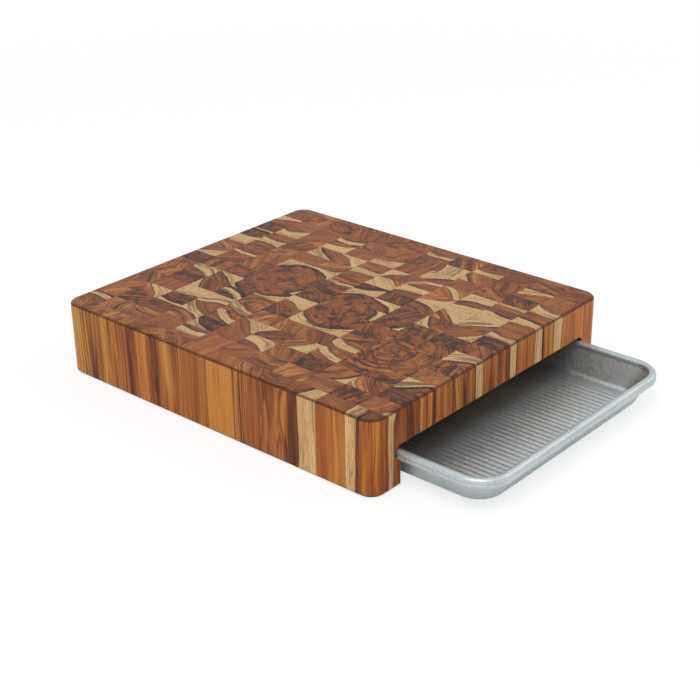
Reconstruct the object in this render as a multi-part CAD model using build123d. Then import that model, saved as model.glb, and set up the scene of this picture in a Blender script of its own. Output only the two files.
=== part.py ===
"""Cutting board with a drawer tray: an end-grain block on two legs and a sheet-metal tray under it.

Frame, in millimetres: +Z up, the origin under the middle of the block and the drawn-out tray,
-Y is the front, where the tray comes out, and +X is to the right of someone facing the front.
"""
from build123d import *
import math
import os

# ---- block -------------------------------------------------------------------------------------
board_width = 293.0         # across the channel
board_depth = 337.0         # along the tray's travel
board_height = 64.0         # resting face to cutting face
corner_radius = 13.0        # the four upright corners
edge_round = 3.0            # easing round the cutting face
foot_bevel = 2.0            # bevelled edges under the legs

# ---- wood: sticks glued side by side into strips, strips glued front to back --------------------
strip_pitch = 28.4          # thickness of one strip
front_strip = 26.0          # what the trimmed front face leaves of the first strip
stick_pitch = 19.2          # width of one stick
stick_shift = 2.4           # the nearest glue line between sticks, from the block's middle
least_piece = 0.5           # thinner trimmings than this don't count as a strip or stick

# ---- channel under the deck ---------------------------------------------------------------------
rim_reach = 4.8             # how far the tray's rim reaches into each groove
channel_height = 34.4       # resting face to the underside of the deck
groove_diameter = 12.7      # round-nosed groove in each leg, which carries the tray's rim
lip_round = 2.0             # easing on the lip under the groove

# ---- tray ---------------------------------------------------------------------------------------
tray_width = 241.3          # over the rim
tray_length = 330.2         # over the rim
tray_height = 27.1          # top of the rim to the lowest rib
rim_corner_radius = 25.4    # over the rim, seen from above
rim_roll = 6.4              # diameter of the rolled edge, across its corners
rim_flat_count = 16         # flats that the roll is drawn with, all the way round
curl_flat_count = 8         # the same for its inside
rim_depth = 7.4             # top of the rim to the hem's lower edge
sheet = 0.8                 # thickness of the metal
hem_crease = 0.45           # how far the crease between roll and hem steps in
hem_bevel = 0.5             # lower outer edge of the hem
wall_run = 8.4              # how far the walls lean out over their height
wall_lap = 0.15             # how far the wall runs up into the roll
foot_round = 6.0            # outside bend between wall and floor
rib_pitch = 5.61            # one ridge and one valley of the floor
rib_depth = 0.9             # valley to ridge
rib_border_side = 9.6       # least flat floor beside the ribs, from the foot of the wall
rib_border_end = 12.0       # flat floor beyond the ends of the ribs
wire_diameter = 4.3         # wire inside the rolled edge, across its corners
wire_flat_count = 8         # flats that the wire is drawn with
wire_gap = 0.8              # between the wire's two ends, at the back
tray_clearance = 0.3        # rim to groove
tray_drawn = 82.0           # how far the tray stands out of the front face at rest

# ---- places that follow from the sizes ----------------------------------------------------------
half_board = board_width / 2
board_front = -(board_depth - tray_drawn) / 2
board_back = board_front + board_depth
groove_radius = groove_diameter / 2
groove_z = channel_height - groove_radius
channel_half = tray_width / 2 - rim_reach
tray_front = board_front - tray_drawn
tray_middle = tray_front + tray_length / 2

# The hem's bevelled lower edge lies in the curve of the groove, tray_clearance from it.
hem_reach = groove_radius - tray_clearance - hem_bevel
hem_side = rim_reach - hem_bevel
rim_bottom = groove_z - math.sqrt(hem_reach ** 2 - hem_side ** 2) - hem_bevel
rim_top = rim_bottom + rim_depth
roll_radius = rim_roll / 2
roll_z = rim_top - roll_radius
floor_bottom = rim_top - tray_height + rib_depth / 2

# The wall's inner face meets the roll at the neck, halfway round its lower inner quarter.
neck_inset = roll_radius * (1 + math.sqrt(0.5))
neck_z = rim_top - neck_inset
wall_slope = wall_run / (neck_z - floor_bottom)
wall_lean = math.atan(wall_slope)
wall_across = sheet / math.cos(wall_lean)           # thickness of the wall, measured level
foot_inset = neck_inset - wall_across + wall_run    # rim's outline to the outside foot of the wall

# Two leaning walls meet along an edge that leans further. This bend along it is as wide as the
# roll's corner where the two meet.
corner_lean = math.atan(math.sqrt(2) * wall_slope)
corner_turn = math.acos(math.sin(wall_lean) ** 2) / 2
corner_bend = ((rim_corner_radius - neck_inset) * (math.sqrt(2) - 1) * math.cos(corner_lean)
               / (1 / math.cos(corner_turn) - 1))


def lines_between(low, high, first, pitch):
    """Glue lines at first + n * pitch between two faces, with the faces themselves."""
    start = math.ceil((low + least_piece - first) / pitch)
    stop = math.floor((high - least_piece - first) / pitch)
    return [low] + [first + n * pitch for n in range(start, stop + 1)] + [high]


# ---- block --------------------------------------------------------------------------------------
def channel_profile():
    """Half of the channel's section, on the right: open below, with the groove's round nose."""
    nose = (channel_half + groove_radius, groove_z)
    lip = (channel_half, groove_z - groove_radius)
    ceiling = (channel_half, channel_height)
    face = make_face([
        *Polyline(ceiling, (0, channel_height), (0, -1), (channel_half, -1), lip).edges(),
        ThreePointArc(lip, nose, ceiling),
    ])
    lip_corner = face.vertices().sort_by_distance(lip)[0]
    face = fillet(lip_corner, lip_round)
    flare = Polygon((channel_half, 0), (channel_half + foot_bevel, 0), (channel_half, foot_bevel), align=None)
    return face + flare


def channel():
    """The tray's way through the block, from face to face."""
    half = channel_profile()
    section = half + mirror(half, Plane.YZ)
    front = Plane(origin=(0, board_front - 1, 0), x_dir=(1, 0, 0), z_dir=(0, -1, 0))
    return extrude(front * section, -(board_depth + 2))


def block():
    """The glued-up block with its rounded corners, eased edges and channel."""
    outline = RectangleRounded(board_width, board_depth, corner_radius)
    solid = extrude(Pos(0, (board_front + board_back) / 2) * outline, board_height)
    solid = fillet(solid.faces().sort_by(Axis.Z)[-1].edges(), edge_round)
    solid = chamfer(solid.faces().sort_by(Axis.Z)[0].edges(), foot_bevel)
    return solid - channel()


def strip_of_sticks(whole, front, back):
    """One strip of the block: the sticks between two glue lines, each its own piece of wood."""
    sticks = []
    lines = lines_between(-half_board, half_board, stick_shift, stick_pitch)
    for left, right in zip(lines, lines[1:]):
        cell = Pos((left + right) / 2, (front + back) / 2, board_height / 2)
        sticks += (whole & cell * Box(right - left, back - front, board_height)).solids()
    return Compound(children=sticks)


# ---- tray ---------------------------------------------------------------------------------------
def half_rim_line(inset, height, gap=0.0):
    """The right half of a line that runs inset inside the rim's outline, from back to front."""
    side = tray_width / 2 - inset
    back = tray_front + tray_length - inset
    front = tray_front + inset
    points = [(gap / 2, back, height), (side, back, height), (side, front, height), (0, front, height)]
    return FilletPolyline(*points, radius=rim_corner_radius - inset)


def around_rim(section, inset, height, gap=0.0):
    """A section carried round the rim; its own +X points outwards and its +Y up."""
    line = half_rim_line(inset, height, gap)
    start = Plane(origin=line @ 0, x_dir=(0, 1, 0), z_dir=(1, 0, 0))
    half = sweep(start * section, path=line)
    return half + mirror(half, Plane.YZ)


def around(radius, angle):
    """A point on a circle round the roll's middle, at an angle in degrees."""
    return radius * math.cos(math.radians(angle)), radius * math.sin(math.radians(angle))


def roll_section():
    """The edge rolled outwards over the wire, creased, and ending in a hem that hangs down."""
    inner = roll_radius - sheet
    hem_bottom = rim_bottom - roll_z
    first = 240                              # degrees; past the neck, so that it laps the wall
    crease = -math.degrees(math.acos(1 - hem_crease / roll_radius))
    shoulder = around(roll_radius, crease)[1] - 1.25 * hem_crease

    def arc(radius, flats):
        steps = round((first - crease) / 360 * flats)
        return [around(radius, first + (crease - first) * n / steps) for n in range(steps + 1)]

    hem = [
        (roll_radius, shoulder),
        (roll_radius, hem_bottom + hem_bevel),
        (roll_radius - hem_bevel, hem_bottom),
        (inner, hem_bottom),
        (inner, shoulder),
    ]
    return Polygon(*arc(roll_radius, rim_flat_count), *hem, *reversed(arc(inner, curl_flat_count)), align=None)


def basin(inset, bottom, top, corner, bend):
    """The filled form of the walls and floor: inset is from the rim's outline, at the neck."""
    def leaning(width):
        low = width / 2 - inset - wall_slope * (neck_z - bottom)
        high = width / 2 - inset - wall_slope * (neck_z - top)
        return Polygon((-low, bottom), (low, bottom), (high, top), (-high, top), align=None)

    front = Plane(origin=(0, tray_middle, 0), x_dir=(1, 0, 0), z_dir=(0, -1, 0))
    side = Plane(origin=(0, tray_middle, 0), x_dir=(0, 1, 0), z_dir=(1, 0, 0))
    solid = (extrude(front * leaning(tray_width), tray_length / 2, both=True)
             & extrude(side * leaning(tray_length), tray_width / 2, both=True))
    corners = [edge for edge in solid.edges() if abs(edge.tangent_at(0.5).Z) > 0.5]
    solid = fillet(corners, corner)
    return fillet(solid.faces().sort_by(Axis.Z)[0].edges(), bend)


def rib_area():
    """Half the width and half the length of the ribbed part of the floor, in whole ribs."""
    side = tray_width / 2 - foot_inset - rib_border_side
    valleys = math.floor(side / rib_pitch - 0.25)
    return (valleys + 0.25) * rib_pitch, tray_length / 2 - foot_inset - rib_border_end


def ribbed_floor():
    """The pressed middle of the floor: ridges and valleys of one even thickness, front to back."""
    half_width, half_length = rib_area()
    flats = round(4 * half_width / rib_pitch)
    flat = rib_pitch / 4                     # as wide as each slope between two flats

    def wave(height):
        points = [(-half_width, height)]
        for n in range(flats):
            left = -half_width + (2 * n + 0.5) * flat
            level = height + (rib_depth if n % 2 else -rib_depth) / 2
            points += [(left, level), (left + flat, level)]
        return points + [(half_width, height)]

    section = Polygon(*wave(floor_bottom), *reversed(wave(floor_bottom + sheet)), align=None)
    end = Plane(origin=(0, tray_middle - half_length, 0), x_dir=(1, 0, 0), z_dir=(0, -1, 0))
    return extrude(end * section, -2 * half_length)


def tray_pan():
    """The tray, pressed from one sheet: ribbed floor, leaning walls and rolled rim."""
    wall_top = neck_z + wall_lap
    outside = basin(neck_inset - wall_across, floor_bottom, wall_top, corner_bend, foot_round)
    inside = basin(neck_inset, floor_bottom + sheet, wall_top + 1, corner_bend - sheet, foot_round - sheet)
    half_width, half_length = rib_area()
    middle = Pos(0, tray_middle, floor_bottom + sheet / 2)
    pan = outside - inside - middle * Box(2 * half_width, 2 * half_length, 2 * sheet)
    return pan + ribbed_floor() + around_rim(roll_section(), roll_radius, roll_z)


def rim_wire():
    """The wire in the rolled edge, one length bent round with its ends at the back."""
    return around_rim(RegularPolygon(wire_diameter / 2, wire_flat_count), roll_radius, roll_z, wire_gap)


# ---- nodes --------------------------------------------------------------------------------------
def write(name, shape):
    export_step(shape, os.path.join("parts", name + ".step"))


os.makedirs("parts", exist_ok=True)
whole_block = block()
strip_lines = lines_between(board_front, board_back, board_front + front_strip, strip_pitch)
for number, (front, back) in enumerate(zip(strip_lines, strip_lines[1:]), start=1):
    write(f"strip_{number:02d}", strip_of_sticks(whole_block, front, back))
write("tray_pan", tray_pan())
write("rim_wire", rim_wire())
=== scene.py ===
"""The finished look of the cutting board and its tray: teak, sheet metal, camera and studio."""
import math
import random

import bmesh
import bpy
from mathutils import Matrix, Vector


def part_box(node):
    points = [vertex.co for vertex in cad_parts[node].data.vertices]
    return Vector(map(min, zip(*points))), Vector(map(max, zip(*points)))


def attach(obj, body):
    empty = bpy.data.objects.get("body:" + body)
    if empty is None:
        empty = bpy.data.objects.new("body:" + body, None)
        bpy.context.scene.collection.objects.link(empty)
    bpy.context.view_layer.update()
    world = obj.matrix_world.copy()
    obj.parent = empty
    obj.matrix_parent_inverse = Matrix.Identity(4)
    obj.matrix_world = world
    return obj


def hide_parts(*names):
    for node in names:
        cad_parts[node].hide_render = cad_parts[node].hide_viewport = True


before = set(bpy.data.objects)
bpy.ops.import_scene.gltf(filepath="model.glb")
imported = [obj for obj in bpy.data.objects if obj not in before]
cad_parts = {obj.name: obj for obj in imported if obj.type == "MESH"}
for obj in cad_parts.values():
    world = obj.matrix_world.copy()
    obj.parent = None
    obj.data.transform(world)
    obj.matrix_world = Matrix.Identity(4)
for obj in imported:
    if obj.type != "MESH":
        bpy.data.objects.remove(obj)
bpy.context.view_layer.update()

mm = 0.001
white = (1, 1, 1, 1)

# ---- camera -------------------------------------------------------------------------------------
camera_place = Vector((-0.81523, -0.69760, 0.54145))
camera_bearing = 48.579         # degrees from +Y towards +X
camera_fall = 25.578            # degrees below the horizon
camera_roll = -0.8988           # degrees
camera_lens = 74.02             # mm
sensor_width = 36               # mm
nearest_seen = 0.01             # metres

# ---- light --------------------------------------------------------------------------------------
floor_size = 14.0               # metres
# The floor's white, as the camera sees it and as metal mirrors it: how much is its own, and how
# much is light that falls on it, which is what shows the shadow.
floor_light, floor_shade = 0.74, 0.34
mirrored_light, mirrored_shade = 0.05, 1.2
plain_white = (0.6, 1.6)        # metres from the middle, over which the floor turns into even white
floor_bounce = (0.8, 0.8, 0.8, 1)   # its colour in the light that it throws on the object
world_strength = 0.46           # of the white light from all round that falls on the object
# Each lamp's place and width in metres, and its power in watts.
lamps = {"key": ((-1.8, -0.8, 3.3), 2.4, 60), "fill": ((2.6, -2.4, 2.4), 2.4, 23)}
lamp_target = Vector((0, 0, 0.03))

# ---- block: sizes in millimetres, as the block was glued up -------------------------------------
strip_names = sorted(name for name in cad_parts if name.startswith("strip"))
strip_pitch = 28.4              # thickness of one strip
stick_pitch = 19.2              # width of one stick
stick_shift = 2.4               # the nearest glue line between sticks, from the block's middle
stick_count = 16                # sticks in a strip, the trimmed ones at its ends counted
# How near and how far the middle of the growth rings may lie from a stick.
heartwood_reach = (24, 130)
sapwood_reach = (30, 110)
no_sapwood = 150.0              # far enough out for sapwood that a stick doesn't show

# Sapwood in the sticks of each strip, with strips counted from the front and sticks from the left.
# stick: (bearing of the sapwood in degrees, 0 to the right leg and 90 to the front; millimetres
# from the stick's middle to where it begins; its width, or None where it runs out of the stick)
sapwood = {
    1: {1: (275, 4.5, None), 2: (110, 11.2, 2.4), 3: (0, 10.2, None), 4: (322, 1.2, None),
        7: (340, -2.6, None), 9: (0, 7.2, None), 10: (184, 4.5, None), 11: (0, 3.9, None),
        12: (192, 6.1, None), 13: (192, -1.8, None)},
    2: {14: (342, 2.7, None), 12: (0, 6.0, None), 11: (188, -7.5, None), 10: (325, -0.5, None),
        9: (135, 6.0, None), 3: (225, 9.5, None)},
    3: {12: (350, -3.3, None), 11: (168, -5.2, None), 10: (35, -0.5, None), 9: (225, 6.0, None),
        3: (135, 9.5, None), 1: (120, -1.0, None)},
    4: {15: (180, 2.0, None), 14: (230, 10.0, None), 12: (40, 1.0, 5.0), 11: (150, 1.5, None),
        10: (20, 5.0, None), 8: (130, 12.0, None), 5: (195, -3.0, 7.5), 4: (205, -4.0, 8.0)},
    5: {14: (80, -9.0, None), 13: (330, -1.0, None), 12: (332, 0.5, 6.0), 11: (350, 0.5, None),
        9: (25, 4.0, None), 8: (45, 9.0, None), 6: (160, 1.4, None), 4: (125, 1.0, None)},
    6: {15: (180, -2.9, 5.5), 12: (318, 3.0, None), 11: (215, -8.0, None), 10: (160, 1.4, None),
        9: (330, 8.0, None), 6: (200, 1.4, None), 4: (320, 8.5, None), 3: (20, -2.8, None)},
    7: {13: (168, -2.8, None), 12: (180, 5.6, None), 11: (0, 5.2, None), 10: (180, 3.6, 4.6),
        7: (20, -2.6, None), 4: (38, 1.2, None)},
    8: {12: (38, 1.0, None), 11: (140, 10.0, None), 10: (20, 3.6, None), 8: (110, 12.0, None),
        7: (150, 4.0, None), 5: (200, -3.0, 8.0), 4: (205, -4.0, 7.5), 3: (205, 4.5, None),
        2: (180, -4.0, 8.5)},
    9: {14: (180, 2.6, 6.0), 13: (165, -1.9, None), 12: (215, 0.5, None), 10: (340, 2.6, None),
        7: (222, 10.0, None), 6: (20, -2.5, 7.0), 5: (345, -5.0, None), 4: (212, 1.5, None),
        3: (15, 8.0, None)},
    10: {7: (30, 1.3, None), 6: (235, 9.5, None), 5: (352, -7.0, None), 4: (185, 6.8, None)},
    12: {15: (350, 4.5, 2.5), 14: (343, 1.5, None), 12: (8, 6.5, None), 11: (180, -8.0, None),
         9: (154, 1.4, None), 2: (0, 1.0, 6.0)},
}
sapwood[11] = sapwood[7]
# Middles of growth rings that lie in the block: x, y, the strips and sticks that show them, and how
# those look: their tone from dark to light, how streaked and how red they are, millimetres from
# ring to ring, and how strong the figure is.
hearts = [
    (-47.3, -65.2, {2: range(4, 8), 3: range(4, 8)}, (0.7, 0.9, 1.0, 3.2, 0.7)),
    (-15.0, 12.1, {5: range(6, 10), 6: range(6, 10)}, (0.62, 1.0, 0.9, 3.9, 0.15)),
    (4.0, 97.3, {8: range(7, 11), 9: range(7, 11)}, (0.62, 1.0, 0.9, 3.9, 0.15)),
]
# Sticks of each strip that are dark and streaked, that are orange, and that have broad, bold rings.
dark_sticks = {
    1: (1, 3, 9), 2: (2, 8, 13), 3: (8, 6, 13), 4: (8, 6, 3), 5: (10, 8, 7), 6: (8, 10),
    7: (9, 8, 6), 8: (8, 9, 3), 9: (9, 8, 6), 10: (15, 8, 4), 11: (6, 3), 12: (12, 8, 13),
}
orange_sticks = {
    1: (2, 5), 2: (6, 5, 10), 3: (6, 5, 7), 4: (12, 11, 2), 5: (1,), 6: (15, 5, 2), 7: (2, 1, 5),
    8: (11, 13, 6), 9: (1, 2, 7), 10: (9, 10, 11, 12, 14, 1, 2), 11: (1, 2, 16), 12: (6, 7, 10, 3),
}
bold_sticks = {2: (3,), 3: (3,), 4: (11,), 9: (5,)}
bold_rings = (3.6, 1.0, 0.2)    # their ring width in millimetres, strength of figure, and streaks
# What chance gives a stick, from and to, where no table says otherwise.
usual_tone, orange_tone = (0.6, 0.74), (0.7, 0.82)
usual_red, orange_red = (0.4, 1.0), (0.1, 0.5)
usual_streaks = (0.1, 0.6)
usual_ring = (1.5, 3.6)         # millimetres from ring to ring
usual_figure = (0.15, 1.0)
dark_by = 0.14                  # how much lower the tone of a dark stick is

# Long grain on the left face, one stick of each strip, and on the front face, the other sticks of
# the first strip: its tone, how streaked and how red it is.
left_face = {
    1: (0.78, 0.8, 0.6), 2: (0.82, 0.1, 0.5), 3: (0.66, 0.5, 0.7), 4: (0.93, 0.9, 0.5),
    5: (0.76, 1.0, 0.4), 6: (1.02, 0.0, 0.0), 7: (0.74, 0.1, 0.6), 8: (0.74, 0.6, 0.4),
    9: (0.88, 0.6, 0.4), 10: (0.82, 0.7, 0.7), 11: (0.76, 1.0, 0.3), 12: (0.98, 0.7, 0.1),
}
front_face = {
    2: (0.9, 0.3, 0.6), 3: (0.8, 1.0, 0.9), 4: (0.94, 0.8, 0.4), 5: (0.84, 0.5, 0.6),
    6: (0.8, 1.0, 0.4), 7: (0.86, 0.9, 0.5), 8: (0.88, 0.7, 0.5), 9: (0.76, 1.0, 0.7),
    10: (0.9, 0.4, 0.5), 11: (0.82, 0.1, 0.7), 12: (0.88, 0.5, 0.5), 13: (0.9, 0.1, 0.6),
    14: (1.0, 0.1, 0.4), 15: (1.0, 0.3, 0.4), 16: (0.92, 0.2, 0.4),
}
least_figure, streaked_figure = 0.32, 0.3   # how strong its figure is, and how much streaks add
# How tan, rather than golden, the long grain on the left face is.
left_face_tan = {2: 0.1, 4: 0.4, 5: 0.4, 7: 0.4, 8: 0.4, 9: 0.2, 10: 0.2, 11: 0.8, 12: 1.0}

# ---- tray: sizes in millimetres, as the sheet was pressed ---------------------------------------
rim_roll = 6.4                  # diameter of the rolled edge
rim_depth = 7.4                 # top of the rim to the hem's lower edge
rim_corner = 25.4               # radius of the rim's corners, seen from above
hem_crease = 0.45               # how far the crease between roll and hem steps in
sheet = 0.8                     # thickness of the metal
wall_run = 8.4                  # how far the walls lean out over their height
foot_round = 6.0                # outside bend between wall and floor
neck_angle = 225                # degrees round the roll, from its outer side to the wall
curl_angle = 215                # the same for the sheet's other side, inside the roll
rib_pitch = 5.61                # one ridge and one valley of the floor
rib_depth = 0.9                 # valley to ridge
rib_border_side = 9.6           # least flat floor beside the ribs
rib_border_end = 10.0           # flat floor beyond the ends of the ribs
rib_end = 7.0                   # length over which a rib rises at its ends
sharp_edge = 40                 # degrees: edges that turn more are drawn sharp
corner_steps = 14
roll_steps = 20
foot_steps = 7
rib_steps = 8                   # faces across one ridge and valley


# ---- node trees ---------------------------------------------------------------------------------
class Tree:
    """A node tree, with short ways to add the nodes that the materials here use."""

    def __init__(self, tree):
        self.tree = tree

    def add(self, kind, inputs=(), **settings):
        """A new node with its settings, and with a link or a value in each input that is named."""
        node = self.tree.nodes.new(kind)
        for name, value in settings.items():
            setattr(node, name, value)
        for key, value in dict(inputs).items():
            self.feed(node.inputs[key], value)
        return node

    def feed(self, socket, value):
        if isinstance(value, bpy.types.NodeSocket):
            self.tree.links.new(value, socket)
        else:
            socket.default_value = value

    def math(self, operation, *values, clamp=False):
        inputs = dict(enumerate(values))
        return self.add("ShaderNodeMath", inputs, operation=operation, use_clamp=clamp).outputs[0]

    def less(self, value, mark, weight):
        """A value, less a mark times its weight."""
        return self.math("SUBTRACT", value, self.math("MULTIPLY", mark, weight))

    def vector(self, operation, *values):
        node = self.add("ShaderNodeVectorMath", dict(enumerate(values)), operation=operation)
        return node.outputs["Value" if operation == "LENGTH" else "Vector"]

    def scale(self, vector, factor):
        inputs = {0: vector, "Scale": factor}
        return self.add("ShaderNodeVectorMath", inputs, operation="SCALE").outputs[0]

    def join(self, x=0.0, y=0.0, z=0.0):
        return self.add("ShaderNodeCombineXYZ", {0: x, 1: y, 2: z}).outputs[0]

    def split(self, vector):
        return self.add("ShaderNodeSeparateXYZ", {0: vector}).outputs

    def noise(self, vector, detail, rough=0.5, scale=1.0):
        """Noise as a number, and as a colour whose channels are three such numbers."""
        inputs = {"Vector": vector, "Scale": scale, "Detail": detail, "Roughness": rough}
        return self.add("ShaderNodeTexNoise", inputs).outputs

    def step(self, value, low, high, out_low=0.0, out_high=1.0, kind="SMOOTHSTEP"):
        """Eases from out_low to out_high while a value goes from low to high."""
        inputs = {0: value, 1: low, 2: high, 3: out_low, 4: out_high}
        return self.add("ShaderNodeMapRange", inputs, interpolation_type=kind).outputs[0]

    def slide(self, value, low, high, out_low, out_high):
        """The same in a straight line."""
        return self.step(value, low, high, out_low, out_high, "LINEAR")

    def spread(self, noise, out_low, out_high):
        """Noise, most of which lies between 0.3 and 0.7, spread from out_low to out_high."""
        return self.slide(noise, 0.3, 0.7, out_low, out_high)

    def ramp(self, value, stops, interpolation="LINEAR"):
        """A run of colours from {share: colour}, beginning at share 0: its colour and alpha."""
        node = self.add("ShaderNodeValToRGB", {0: value})
        node.color_ramp.interpolation = interpolation
        elements = node.color_ramp.elements
        elements.remove(elements[1])
        for n, (share, colour) in enumerate(sorted(stops.items())):
            element = elements[0] if n == 0 else elements.new(share)
            element.color = colour
        return node.outputs

    def mix(self, factor, first, second, blend="MIX"):
        node = self.add("ShaderNodeMix", data_type="RGBA", blend_type=blend)
        for n, value in ((0, factor), (6, first), (7, second)):
            self.feed(node.inputs[n], value)
        return node.outputs[2]


def new_material(name):
    """A material with its tree and its shader."""
    material = bpy.data.materials.new(name)
    material.use_nodes = True
    return material, Tree(material.node_tree), material.node_tree.nodes["Principled BSDF"]


def rgb(red, green, blue):
    """A colour as it shows on a screen, 0 to 255, as the linear colour that shaders take."""
    def linear(value):
        share = value / 255
        return share / 12.92 if share <= 0.04045 else ((share + 0.055) / 1.055) ** 2.4
    return (linear(red), linear(green), linear(blue), 1)


# ---- teak ---------------------------------------------------------------------------------------
heart_shades = {
    0.0: rgb(40, 24, 18), 0.2: rgb(78, 45, 31), 0.45: rgb(122, 71, 43), 0.7: rgb(160, 98, 56),
    1.0: rgb(200, 140, 82),
}
sap_shades = {
    0.0: rgb(98, 78, 54), 0.3: rgb(158, 126, 86), 0.6: rgb(212, 168, 116), 1.0: rgb(242, 202, 148),
}
darkest_heart = 0.06            # the lowest place in heart_shades that lines and clouds reach
red_tint = (1.04, 0.86, 0.80, 1)
golden_tint = (1.08, 1.04, 0.84, 1)
# Long grain beside end grain: golden and tan heartwood, and sapwood.
long_golden = (1.22, 1.11, 0.82, 1)
long_tan = (1.24, 1.36, 1.12, 1)
long_sap = (1.24, 1.22, 1.16, 1)
# The dark of the glue lines between sticks and strips, also used for the painted shade on the eased
# edges.
glue_and_edge_shade = rgb(58, 34, 24)
glue_reach = (0.08, 0.36)       # millimetres from a joint, over which its glue line fades
# How strong the glue lines are, and how strong the painted shade on the eased edges is.
glue_mark, eased_shade_mark = 0.5, 0.72
wood_specular = 0.22
wood_relief = 0.12 * mm

# How far growth rings wander, slowly and finely, and how uneven their widths are, in millimetres.
slow_wander, fine_wander, uneven_rings = 6.0, 1.6, 7.0
usual_radius = 60.0             # millimetres: where a measure taken round the rings is true
change_along = 0.006            # how much a pattern round the rings changes in each millimetre up
# How much marks darken heartwood: the rings' lines, clouds, the line on the heartwood's side of
# sapwood, and in streaked sticks the wood beside that line.
ring_mark, cloud_mark, border_mark, beside_mark = 0.56, 0.48, 0.22, 0.24
# How much marks darken sapwood: the rings' lines, flecks, bands and stains.
sap_ring_mark, fleck_mark, band_mark, stain_mark = 0.24, 0.3, 0.22, 0.55
pore_mark = 0.3                 # how much pores darken all wood

# A colour's channels hold numbers from 0 to 1: the lengths, in millimetres, that they stand for.
growth_span = 400.0
ring_span = 4.0


def stick_middle(strip, stick):
    """The middle of a stick, in millimetres: where its glue lines put it, trimmed or not."""
    low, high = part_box(strip_names[strip - 1])
    middle_y = (low.y + high.y) / 2 / mm
    if strip == 1:
        middle_y = high.y / mm - strip_pitch / 2
    if strip == len(strip_names):
        middle_y = low.y / mm + strip_pitch / 2
    return stick_shift + (stick - stick_count / 2 - 0.5) * stick_pitch, middle_y


def heart_of(strip, stick):
    """The row of hearts whose rings a stick shows, if there is one."""
    for heart in hearts:
        if stick in heart[2].get(strip, ()):
            return heart
    return None


def stick_growth(strip, stick):
    """The middle of a stick's rings, seen from the stick's own, and its sapwood's two radii."""
    chance = random.Random(100 * strip + stick)
    x, y = stick_middle(strip, stick)
    if stick in sapwood[strip]:
        bearing, begins, width = sapwood[strip][stick]
        away = chance.uniform(*sapwood_reach)
    else:
        bearing, begins, width = chance.uniform(0, 360), no_sapwood, None
        away = chance.uniform(*heartwood_reach)
    turn = math.radians(bearing)
    middle = Vector((x - away * math.cos(turn), y + away * math.sin(turn)))
    heart = heart_of(strip, stick)
    if heart:
        middle = Vector(heart[:2])
        away = (Vector((x, y)) - middle).length
    begins += away
    return middle - Vector((x, y)), begins, begins + (width or no_sapwood)


def stick_look(strip, stick):
    """What a stick looks like, in numbers from 0 to 1, and its ring width in millimetres."""
    chance = random.Random(1000 + 100 * strip + stick)
    orange = stick in orange_sticks[strip]
    dark = stick in dark_sticks[strip]
    tone = chance.uniform(*(orange_tone if orange else usual_tone))
    streaked = 1.0 if dark else chance.uniform(*usual_streaks)
    red = chance.uniform(*(orange_red if orange else usual_red))
    ring = chance.uniform(*usual_ring)
    figure = chance.uniform(*usual_figure)
    stain = chance.random() ** 1.4
    if dark:
        tone -= dark_by
    if stick in bold_sticks.get(strip, ()):
        ring, figure, streaked = bold_rings
    long_tone = tone
    heart = heart_of(strip, stick)
    if stick == 1 or strip == 1:
        long_tone, streaked, red = left_face[strip] if stick == 1 else front_face[stick]
        figure = least_figure + streaked_figure * streaked
    elif heart:
        tone, streaked, red, ring, figure = heart[3]
    tan = left_face_tan.get(strip, 0.0) if stick == 1 else 0.0
    # How much lighter a stick's long grain is than its end grain, with 0.5 for no difference.
    lift = long_tone - tone + 0.5
    return {"tone": tone, "streaked": streaked, "red": red, "stain": stain, "ring": ring,
            "figure": figure, "lift": lift, "tan": tan}


def per_stick(t, index, rows):
    """Four numbers at a point of a strip, from a row of four for each of its sticks."""
    stops = {n / stick_count: row for n, row in enumerate(rows)}
    colour, fourth = t.ramp(index, stops, "CONSTANT")
    first, second, third = t.add("ShaderNodeSeparateColor", {0: colour}).outputs
    return first, second, third, fourth


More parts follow.
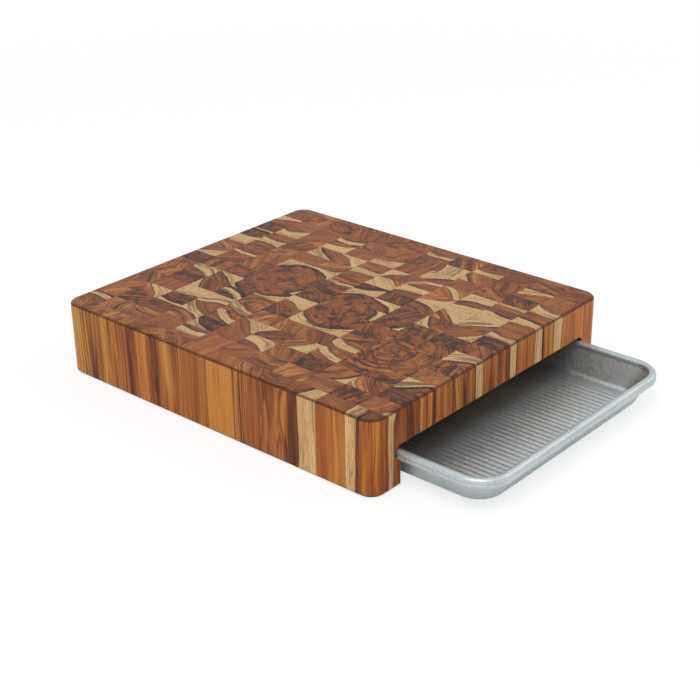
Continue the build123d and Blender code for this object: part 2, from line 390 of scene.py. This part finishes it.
def teak_group():
    """The colour, roughness and relief of teak at a point of a stick, out of the stick's growth."""
    group = bpy.data.node_groups.new("teak", "ShaderNodeTree")
    sockets = (
        ("INPUT", "Vector", ("Point", "Middle")),
        ("INPUT", "Float", ("Seed", "Begins", "Ends", "Ring", "Figure")),
        ("INPUT", "Float", ("Tone", "Dark", "Red", "Stain")),
        ("OUTPUT", "Color", ("Color",)),
        ("OUTPUT", "Float", ("Sap", "Roughness", "Height")),
    )
    for in_out, kind, names in sockets:
        for name in names:
            group.interface.new_socket(name, in_out=in_out, socket_type=f"NodeSocket{kind}")
    t = Tree(group)
    given = t.add("NodeGroupInput").outputs
    point, seed = given["Point"], given["Seed"]
    apart = t.join(t.math("MULTIPLY", seed, 37.0), t.math("MULTIPLY", seed, 71.0), seed)

    def place(across, along):
        """The point in a pattern's own measure: across the fibres and along them, in mm."""
        measured = t.vector("MULTIPLY", point, (1 / across, 1 / across, 1 / along))
        return t.vector("ADD", measured, apart)

    # The rings wander a little, on two scales.
    slow = t.vector("SUBTRACT", t.noise(place(20, 76), 1)[1], (0.5, 0.5, 0.5))
    fine = t.vector("SUBTRACT", t.noise(place(4.0, 80), 3)[1], (0.5, 0.5, 0.5))
    wander = t.vector("ADD", t.scale(slow, slow_wander), t.scale(fine, fine_wander))
    bent = t.vector("ADD", point, wander)
    radial = t.split(t.vector("SUBTRACT", bent, given["Middle"]))
    flat = t.join(radial[0], radial[1])
    radius = t.vector("LENGTH", flat)
    facing = t.vector("NORMALIZE", flat)

    def along_rings(across, around):
        """Noise drawn out along the rings: its measure across and round them, in millimetres."""
        spin = t.split(t.vector("ADD", t.scale(facing, usual_radius / around), apart))
        inputs = {
            "Vector": t.join(t.math("DIVIDE", radius, across), spin[0], spin[1]),
            "W": t.math("MULTIPLY_ADD", t.split(point)[2], change_along, spin[2]),
            "Scale": 1.0, "Detail": 2.0, "Roughness": 0.55,
        }
        return t.add("ShaderNodeTexNoise", inputs, noise_dimensions="4D").outputs[0]

    # Each ring darkens outwards and ends in a line. Widths differ, and some lines are far stronger.
    inputs = {"W": t.math("MULTIPLY_ADD", radius, 0.16, seed), "Scale": 1.0, "Detail": 1.0}
    uneven = t.add("ShaderNodeTexNoise", inputs, noise_dimensions="1D").outputs[0]
    ring = t.math("DIVIDE", t.math("MULTIPLY_ADD", uneven, uneven_rings, radius), given["Ring"])
    number = t.math("FLOOR", ring)
    share = t.math("FRACT", ring)
    inputs = {"W": t.math("ADD", number, seed)}
    strength = t.add("ShaderNodeTexWhiteNoise", inputs, noise_dimensions="1D").outputs[0]
    late = t.math("POWER", share, 2.5)
    fair_line = t.math("MULTIPLY", late, t.step(strength, 0.2, 0.95, 0.1, 1.0))
    line = t.math("MULTIPLY", fair_line, given["Figure"])

    # Broad and narrow bands, thin dark streaks and clouds follow the rings.
    broad = along_rings(6.0, 60)
    narrow = along_rings(2.0, 50)
    streak = t.step(along_rings(1.3, 44), 0.53, 0.61)
    cloud = t.step(t.noise(place(8, 140), 3, 0.6)[0], 0.47, 0.62)
    cloud = t.math("MULTIPLY", cloud, given["Dark"])
    cloud = t.math("MULTIPLY", cloud, t.step(narrow, 0.36, 0.6, 0.45, 1.0))

    # Pores, strands and fibres.
    pore_cells = t.add("ShaderNodeTexVoronoi", {"Vector": place(1.0, 14), "Scale": 1.0}).outputs[0]
    pore = t.step(pore_cells, 0.12, 0.26, 1, 0)
    pore = t.math("MULTIPLY", pore, t.step(share, 0.0, 0.6, 1.0, 0.45))
    strand = t.noise(place(1.1, 70), 2, 0.6)[0]
    fibre = t.noise(place(0.45, 34), 2, 0.6)[0]

    # Heartwood: a shade from near black to golden brown.
    swing = t.math("MULTIPLY_ADD", given["Figure"], 0.24, 0.08)
    shade = t.math("MULTIPLY_ADD", t.spread(broad, -1.0, 1.0), swing, given["Tone"])
    wave = t.math("MULTIPLY", t.spread(narrow, -0.18, 0.18), given["Figure"])
    shade = t.math("ADD", shade, wave)
    shade = t.math("ADD", shade, t.spread(strand, -0.06, 0.06))
    streak_mark = t.math("MULTIPLY_ADD", given["Figure"], 0.24, 0.06)
    streak_mark = t.math("MULTIPLY_ADD", given["Dark"], 0.18, streak_mark)
    shade = t.less(shade, streak, streak_mark)
    shade = t.less(shade, line, ring_mark)
    shade = t.less(shade, cloud, cloud_mark)
    shade = t.math("MAXIMUM", shade, darkest_heart)

    # Sapwood has sharp, slightly torn edges, with a darker line on the heartwood's side.
    inside = t.math("SUBTRACT", radius, given["Begins"])
    past = t.math("SUBTRACT", given["Ends"], radius)
    torn = t.slide(strand, 0.2, 0.8, -0.7, 0.7)
    depth = t.math("ADD", t.math("MINIMUM", inside, past), torn)
    is_sap = t.step(depth, -0.25, 0.25)
    shade = t.less(shade, t.step(depth, -1.8, -0.3), border_mark)
    beside = t.math("MULTIPLY", t.step(depth, -7.0, -1.5), given["Dark"])
    shade = t.less(shade, beside, beside_mark)
    heart = t.ramp(shade, heart_shades)[0]
    redness = t.math("ADD", given["Red"], t.slide(broad, 0.35, 0.65, 0.35, -0.5), clamp=True)
    heart = t.mix(1.0, heart, t.mix(redness, golden_tint, red_tint), "MULTIPLY")

    # Sapwood: paler, with the same rings, flecks, and in some sticks a stain.
    pale = t.spread(broad, 1.0, 0.78)
    pale = t.less(pale, fair_line, sap_ring_mark)
    pale = t.math("SUBTRACT", pale, t.slide(strand, 0.4, 0.7, 0.0, 0.3))
    pale = t.less(pale, t.step(t.noise(place(0.9, 10), 2, 0.6)[0], 0.54, 0.66), fleck_mark)
    pale = t.less(pale, t.step(narrow, 0.5, 0.64), band_mark)
    stain = t.math("MULTIPLY", t.step(along_rings(3.6, 34), 0.47, 0.6), given["Stain"])
    pale = t.less(pale, stain, stain_mark)
    colour = t.mix(is_sap, heart, t.ramp(pale, sap_shades)[0])

    darker = t.math("ADD", t.math("MULTIPLY", pore, pore_mark), t.spread(fibre, 0.0, 0.2))
    colour = t.mix(darker, colour, (0.0, 0.0, 0.0, 1))
    rough = t.math("ADD", t.spread(fibre, 0.46, 0.58), t.math("MULTIPLY", pore, 0.2))
    height = t.math("SUBTRACT", t.math("MULTIPLY", fibre, 0.3), pore)
    t.add("NodeGroupOutput", {0: colour, 1: is_sap, 2: rough, 3: height})
    return group


def teak(strip, group):
    """One strip's material: its sticks' growth, glue lines, end grain above, long grain beside."""
    material, t, shader = new_material(f"teak_{strip:02d}")
    growths, shades, figures = [], [], []
    for stick in range(1, stick_count + 1):
        middle, begins, ends = stick_growth(strip, stick)
        growths.append((middle.x / growth_span + 0.5, middle.y / growth_span + 0.5,
                        begins / growth_span, ends / growth_span))
        look = stick_look(strip, stick)
        shades.append((look["tone"], look["streaked"], look["red"], look["stain"]))
        figures.append((look["ring"] / ring_span, look["figure"], look["lift"], look["tan"]))

    # Which stick the point is in, and where in that stick.
    point = t.scale(t.add("ShaderNodeTexCoord").outputs["Object"], 1 / mm)
    x, y, z = t.split(point)
    across = t.math("DIVIDE", t.math("SUBTRACT", x, stick_shift), stick_pitch)
    row = t.math("FLOOR", across)
    index = t.math("DIVIDE", t.math("ADD", row, stick_count / 2 + 0.5), stick_count)
    stick_x = t.math("MULTIPLY", t.math("SUBTRACT", t.math("FRACT", across), 0.5), stick_pitch)
    stick_y = t.math("SUBTRACT", y, stick_middle(strip, 1)[1])

    middle_x, middle_y, begins, ends = per_stick(t, index, growths)
    tone, streaked, red, stain = per_stick(t, index, shades)
    ring, figure, lift, tan = per_stick(t, index, figures)
    upright = t.math("ABSOLUTE", t.split(t.add("ShaderNodeNewGeometry").outputs["Normal"])[2])
    long_grain = t.step(upright, 0.15, 0.6, 1.0, 0.0)
    middle = t.vector("SUBTRACT", t.join(middle_x, middle_y, 0.0), (0.5, 0.5, 0.0))
    inputs = {
        "Point": t.join(stick_x, stick_y, z),
        "Middle": t.scale(middle, growth_span),
        "Seed": t.math("ADD", row, 20.0 * strip),
        "Begins": t.math("MULTIPLY", begins, growth_span),
        "Ends": t.math("MULTIPLY", ends, growth_span),
        "Tone": t.math("MULTIPLY_ADD", long_grain, t.math("SUBTRACT", lift, 0.5), tone),
        "Dark": streaked,
        "Red": red,
        "Stain": t.math("MULTIPLY", stain, t.math("MULTIPLY_ADD", long_grain, -0.75, 1.0)),
        "Ring": t.math("MULTIPLY", ring, ring_span),
        "Figure": figure,
    }
    colour, is_sap, rough, height = t.add("ShaderNodeGroup", inputs, node_tree=group).outputs

    # Glue lines between sticks and between strips.
    to_x = t.math("SUBTRACT", stick_pitch / 2, t.math("ABSOLUTE", stick_x))
    to_y = t.math("SUBTRACT", strip_pitch / 2, t.math("ABSOLUTE", stick_y))
    glue = t.step(t.math("MINIMUM", to_x, to_y), *glue_reach, glue_mark, 0.0)
    colour = t.mix(glue, colour, glue_and_edge_shade)

    # Long grain shows lighter and in its own tint. The eased edge to the end grain is darkened with
    # painted shade, picked out by which way the surface faces.
    side_tint = t.mix(is_sap, t.mix(tan, long_golden, long_tan), long_sap)
    colour = t.mix(long_grain, colour, t.mix(1.0, colour, side_tint, "MULTIPLY"))
    edge_shade_mask = t.math("MULTIPLY", t.step(upright, 0.1, 0.5), t.step(upright, 0.7, 0.98, 1.0, 0.0))
    colour = t.mix(t.math("MULTIPLY", edge_shade_mask, eased_shade_mark), colour, glue_and_edge_shade)
    t.feed(shader.inputs["Base Color"], colour)
    t.feed(shader.inputs["Roughness"], rough)
    shader.inputs["Specular IOR Level"].default_value = wood_specular
    inputs = {"Height": height, "Strength": 0.5, "Distance": wood_relief}
    t.feed(shader.inputs["Normal"], t.add("ShaderNodeBump", inputs).outputs[0])
    return material


# ---- metal --------------------------------------------------------------------------------------
metal_dull = rgb(168, 176, 177)
metal_bright = rgb(196, 204, 205)
metal_relief = 0.06 * mm


def tray_metal():
    """Matt silver-grey coated steel: a fine grain, soft clouds and thin scuffs."""
    # The patterns' scales are in cells to a metre.
    material, t, shader = new_material("tray_metal")
    point = t.add("ShaderNodeTexCoord").outputs["Object"]
    cloudy = t.noise(point, 3, 0.55, 28.0)[0]
    mottle = t.noise(point, 2, 0.6, 420.0)[0]
    grain = t.noise(point, 2, 0.6, 1500.0)[0]
    scuff = t.step(t.noise(t.vector("MULTIPLY", point, (900, 60, 300)), 2)[0], 0.62, 0.72)
    share = t.math("ADD", t.spread(cloudy, 0.0, 0.4), t.spread(mottle, 0.0, 0.6))
    t.feed(shader.inputs["Base Color"], t.mix(share, metal_dull, metal_bright))
    shader.inputs["Metallic"].default_value = 0.9
    rough = t.math("ADD", t.spread(mottle, 0.38, 0.48), t.math("MULTIPLY", scuff, 0.08))
    t.feed(shader.inputs["Roughness"], rough)
    relief = t.math("ADD", grain, t.math("MULTIPLY", mottle, 0.8))
    inputs = {"Height": relief, "Strength": 0.28, "Distance": metal_relief}
    t.feed(shader.inputs["Normal"], t.add("ShaderNodeBump", inputs).outputs[0])
    return material


# ---- tray ---------------------------------------------------------------------------------------
tray_low, tray_high = (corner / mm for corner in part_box("tray_pan"))
tray_middle = (tray_low + tray_high) / 2
tray_width, tray_length = (tray_high - tray_low).xy
roll_radius = rim_roll / 2
roll_z = tray_high.z - roll_radius
rim_bottom = tray_high.z - rim_depth
floor_bottom = tray_low.z + rib_depth / 2


def rim_point(radius, degrees):
    """A point round the roll: how far inside the rim's outline, how high, and its corner."""
    turn = math.radians(degrees)
    inset = roll_radius - radius * math.cos(turn)
    return inset, roll_z + radius * math.sin(turn), rim_corner - inset


neck_inset, neck_z, _ = rim_point(roll_radius, neck_angle)
wall_slope = wall_run / (neck_z - floor_bottom)
wall_lean = math.atan(wall_slope)
wall_across = sheet / math.cos(wall_lean)
foot_inset = neck_inset - wall_across + wall_run


def wall_points(top_inset, top_z, floor_z, bend):
    """Down one side of the wall and round the bend at its foot, to the floor."""
    corner = rim_corner - top_inset

    def wall_inset(z):
        return top_inset + wall_slope * (top_z - z)

    middle_z = floor_z + bend
    middle_inset = wall_inset(middle_z) + bend / math.cos(wall_lean)
    points = [(top_inset, top_z, corner)]
    for n in range(foot_steps + 1):
        turn = math.pi + wall_lean + (math.pi / 2 - wall_lean) * n / foot_steps
        inset = middle_inset + bend * math.cos(turn)
        z = middle_z + bend * math.sin(turn)
        points.append((inset, z, corner - (inset - wall_inset(z))))
    return points


def tray_section():
    """The sheet's outline from the floor inside, over the rolled rim, to the floor underneath."""
    crease = -math.degrees(math.acos(1 - hem_crease / roll_radius))
    crease_z = rim_point(roll_radius, crease)[1]
    inside = wall_points(neck_inset, neck_z, floor_bottom + sheet, foot_round - sheet)
    outside = wall_points(neck_inset - wall_across, neck_z, floor_bottom, foot_round)
    roll = [rim_point(roll_radius, neck_angle + (crease - neck_angle) * n / roll_steps)
            for n in range(1, roll_steps + 1)]
    # The hem hangs from the crease. Its lower edge is rounded outside and eased inside.
    hem = [
        (0.1, crease_z - 0.4), (0.0, crease_z - 0.8), (0.0, rim_bottom + 0.45),
        (0.12, rim_bottom + 0.12), (0.42, rim_bottom), (sheet - 0.1, rim_bottom),
        (sheet, rim_bottom + 0.1), (sheet, crease_z - 0.6),
    ]
    hem = [(inset, z, rim_corner - inset) for inset, z in hem]
    curl_steps = roll_steps // 2
    curl = [rim_point(roll_radius - sheet, crease + (curl_angle - crease) * n / curl_steps)
            for n in range(curl_steps + 1)]
    return inside[::-1] + roll + hem + curl + outside


def rounded_loop(mesh, inset, height, corner):
    """The points of a rectangle with rounded corners, inset from the rim's outline."""
    loop = []
    side_reach = tray_width / 2 - inset - corner
    end_reach = tray_length / 2 - inset - corner
    for quarter, (side, end) in enumerate(((1, 1), (-1, 1), (-1, -1), (1, -1))):
        for n in range(corner_steps + 1):
            turn = math.pi / 2 * (quarter + n / corner_steps)
            x = tray_middle.x + side * side_reach + corner * math.cos(turn)
            y = tray_middle.y + end * end_reach + corner * math.sin(turn)
            loop.append(mesh.verts.new(Vector((x, y, height)) * mm))
    return loop


def ribbed_sheet(mesh, height, upwards):
    """One side of the ribbed floor, whose ribs rise and fall away at their ends: its edge."""
    # The ribs stop where their wave crosses its middle, a quarter of its pitch past a valley.
    valleys = math.floor((tray_width / 2 - foot_inset - rib_border_side) / rib_pitch - 0.25)
    half_width = (valleys + 0.25) * rib_pitch
    half_length = tray_length / 2 - foot_inset - rib_border_end
    columns = round(2 * half_width / rib_pitch * rib_steps)
    ends = [rib_end * n / foot_steps for n in range(foot_steps + 1)]
    rows = [n - half_length for n in ends] + [half_length - n for n in reversed(ends)]
    grid = []
    for row in rows:
        rise = min(1.0, (half_length - abs(row)) / rib_end)
        rise = rise * rise * (3 - 2 * rise)
        line = []
        for n in range(columns + 1):
            x = -half_width + 2 * half_width * n / columns
            z = height - rib_depth / 2 * rise * math.cos(2 * math.pi * x / rib_pitch)
            place = Vector((tray_middle.x + x, tray_middle.y + row, z))
            line.append(mesh.verts.new(place * mm))
        grid.append(line)
    for low, high in zip(grid, grid[1:]):
        for a, b, c, d in zip(low, low[1:], high[1:], high):
            mesh.faces.new((a, b, c, d) if upwards else (d, c, b, a))
    right = [line[-1] for line in grid[1:-1]]
    left = [line[0] for line in grid[-2:0:-1]]
    return grid[0] + right + grid[-1][::-1] + left


def floor_border(mesh, loop, ribs):
    """The flat floor between the foot of the walls and the ribs."""
    edges = []
    for outline in (loop, ribs):
        for a, b in zip(outline, outline[1:] + outline[:1]):
            edges.append(mesh.edges.get((a, b)) or mesh.edges.new((a, b)))
    bmesh.ops.triangle_fill(mesh, use_beauty=True, use_dissolve=False, edges=edges)


def make_tray(material):
    """The tray, pressed from one sheet, with a smooth roll and ribs that fade at their ends."""
    mesh = bmesh.new()
    loops = [rounded_loop(mesh, *point) for point in tray_section()]
    for first, second in zip(loops, loops[1:]):
        for n in range(len(first)):
            following = (n + 1) % len(first)
            mesh.faces.new((first[n], first[following], second[following], second[n]))
    floor_border(mesh, loops[0], ribbed_sheet(mesh, floor_bottom + sheet, True))
    floor_border(mesh, loops[-1], ribbed_sheet(mesh, floor_bottom, False))
    bmesh.ops.recalc_face_normals(mesh, faces=mesh.faces)
    data = bpy.data.meshes.new("pressed_tray")
    mesh.to_mesh(data)
    mesh.free()
    data.shade_smooth()
    data.set_sharp_from_angle(angle=math.radians(sharp_edge))
    data.materials.append(material)
    tray = bpy.data.objects.new("pressed_tray", data)
    bpy.context.scene.collection.objects.link(tray)
    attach(tray, "tray")
    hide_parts("tray_pan")


# ---- camera, floor and light --------------------------------------------------------------------
def make_camera():
    """The photo's camera. It looks along its own -Z, with its X to the right."""
    bearing, fall, roll = (math.radians(a) for a in (camera_bearing, camera_fall, camera_roll))
    level = math.cos(fall)
    ahead = Vector((math.sin(bearing) * level, math.cos(bearing) * level, -math.sin(fall)))
    right = ahead.cross(Vector((0, 0, 1))).normalized()
    up = right.cross(ahead)
    turned_right = math.cos(roll) * right + math.sin(roll) * up
    turned_up = math.cos(roll) * up - math.sin(roll) * right
    data = bpy.data.cameras.new("camera")
    data.lens = camera_lens
    data.sensor_width = sensor_width
    data.clip_start = nearest_seen
    camera = bpy.data.objects.new("camera", data)
    camera.matrix_world = Matrix((
        (turned_right.x, turned_up.x, -ahead.x, camera_place.x),
        (turned_right.y, turned_up.y, -ahead.y, camera_place.y),
        (turned_right.z, turned_up.z, -ahead.z, camera_place.z),
        (0, 0, 0, 1),
    ))
    bpy.context.scene.collection.objects.link(camera)
    bpy.context.scene.camera = camera


def softbox(name, place, width, power):
    """A large square lamp that looks at the object."""
    data = bpy.data.lights.new(name, "AREA")
    data.size = width
    data.energy = power
    lamp = bpy.data.objects.new(name, data)
    lamp.location = place
    lamp.rotation_euler = (lamp_target - Vector(place)).to_track_quat("-Z", "Y").to_euler()
    bpy.context.scene.collection.objects.link(lamp)


def seen_directly(t):
    """Whether a ray comes from the camera, and whether it does or comes off a mirror or glass."""
    ray = t.add("ShaderNodeLightPath").outputs
    mirrored = t.math("MAXIMUM", ray["Is Glossy Ray"], ray["Is Transmission Ray"])
    return ray["Is Camera Ray"], t.math("MAXIMUM", ray["Is Camera Ray"], mirrored)


def floor_material():
    """White to the camera and in reflections, with the object's shadow; plain to other light."""
    material, t, _ = new_material("floor")
    t.tree.nodes.clear()
    camera_ray, seen = seen_directly(t)
    away = t.vector("LENGTH", t.add("ShaderNodeTexCoord").outputs["Object"])
    near_light = t.step(away, *plain_white, floor_light, 1.0)
    near_shade = t.step(away, *plain_white, floor_shade, 0.0)
    light = t.slide(camera_ray, 0, 1, mirrored_light, near_light)
    shade = t.slide(camera_ray, 0, 1, mirrored_shade, near_shade)
    own = t.add("ShaderNodeEmission", {"Color": white, "Strength": light}).outputs[0]
    lit = t.add("ShaderNodeBsdfDiffuse", {"Color": t.join(shade, shade, shade)}).outputs[0]
    seen_white = t.add("ShaderNodeAddShader", {0: own, 1: lit}).outputs[0]
    plain = t.add("ShaderNodeBsdfDiffuse", {"Color": floor_bounce}).outputs[0]
    surface = t.add("ShaderNodeMixShader", {0: seen, 1: plain, 2: seen_white}).outputs[0]
    t.add("ShaderNodeOutputMaterial", {"Surface": surface})
    return material


def make_studio():
    """A white world, two lamps and the floor."""
    scene = bpy.context.scene
    scene.view_settings.view_transform = "Standard"
    world = bpy.data.worlds.new("studio")
    scene.world = world
    world.use_nodes = True
    t = Tree(world.node_tree)
    background = world.node_tree.nodes["Background"]
    background.inputs["Color"].default_value = white
    strength = t.slide(seen_directly(t)[1], 0, 1, world_strength, 1.0)
    t.feed(background.inputs["Strength"], strength)
    for name, lamp in lamps.items():
        softbox(name, *lamp)

    bpy.ops.mesh.primitive_plane_add(size=floor_size, location=(0, 0, 0))
    floor = bpy.context.active_object
    floor.name = "floor"
    floor.data.materials.append(floor_material())


def dress(node, material):
    """Puts a material in a CAD node's slots."""
    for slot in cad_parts[node].material_slots:
        slot.material = material


make_camera()
make_studio()
wood_group = teak_group()
for number, name in enumerate(strip_names, start=1):
    dress(name, teak(number, wood_group))
metal = tray_metal()
make_tray(metal)
dress("rim_wire", metal)
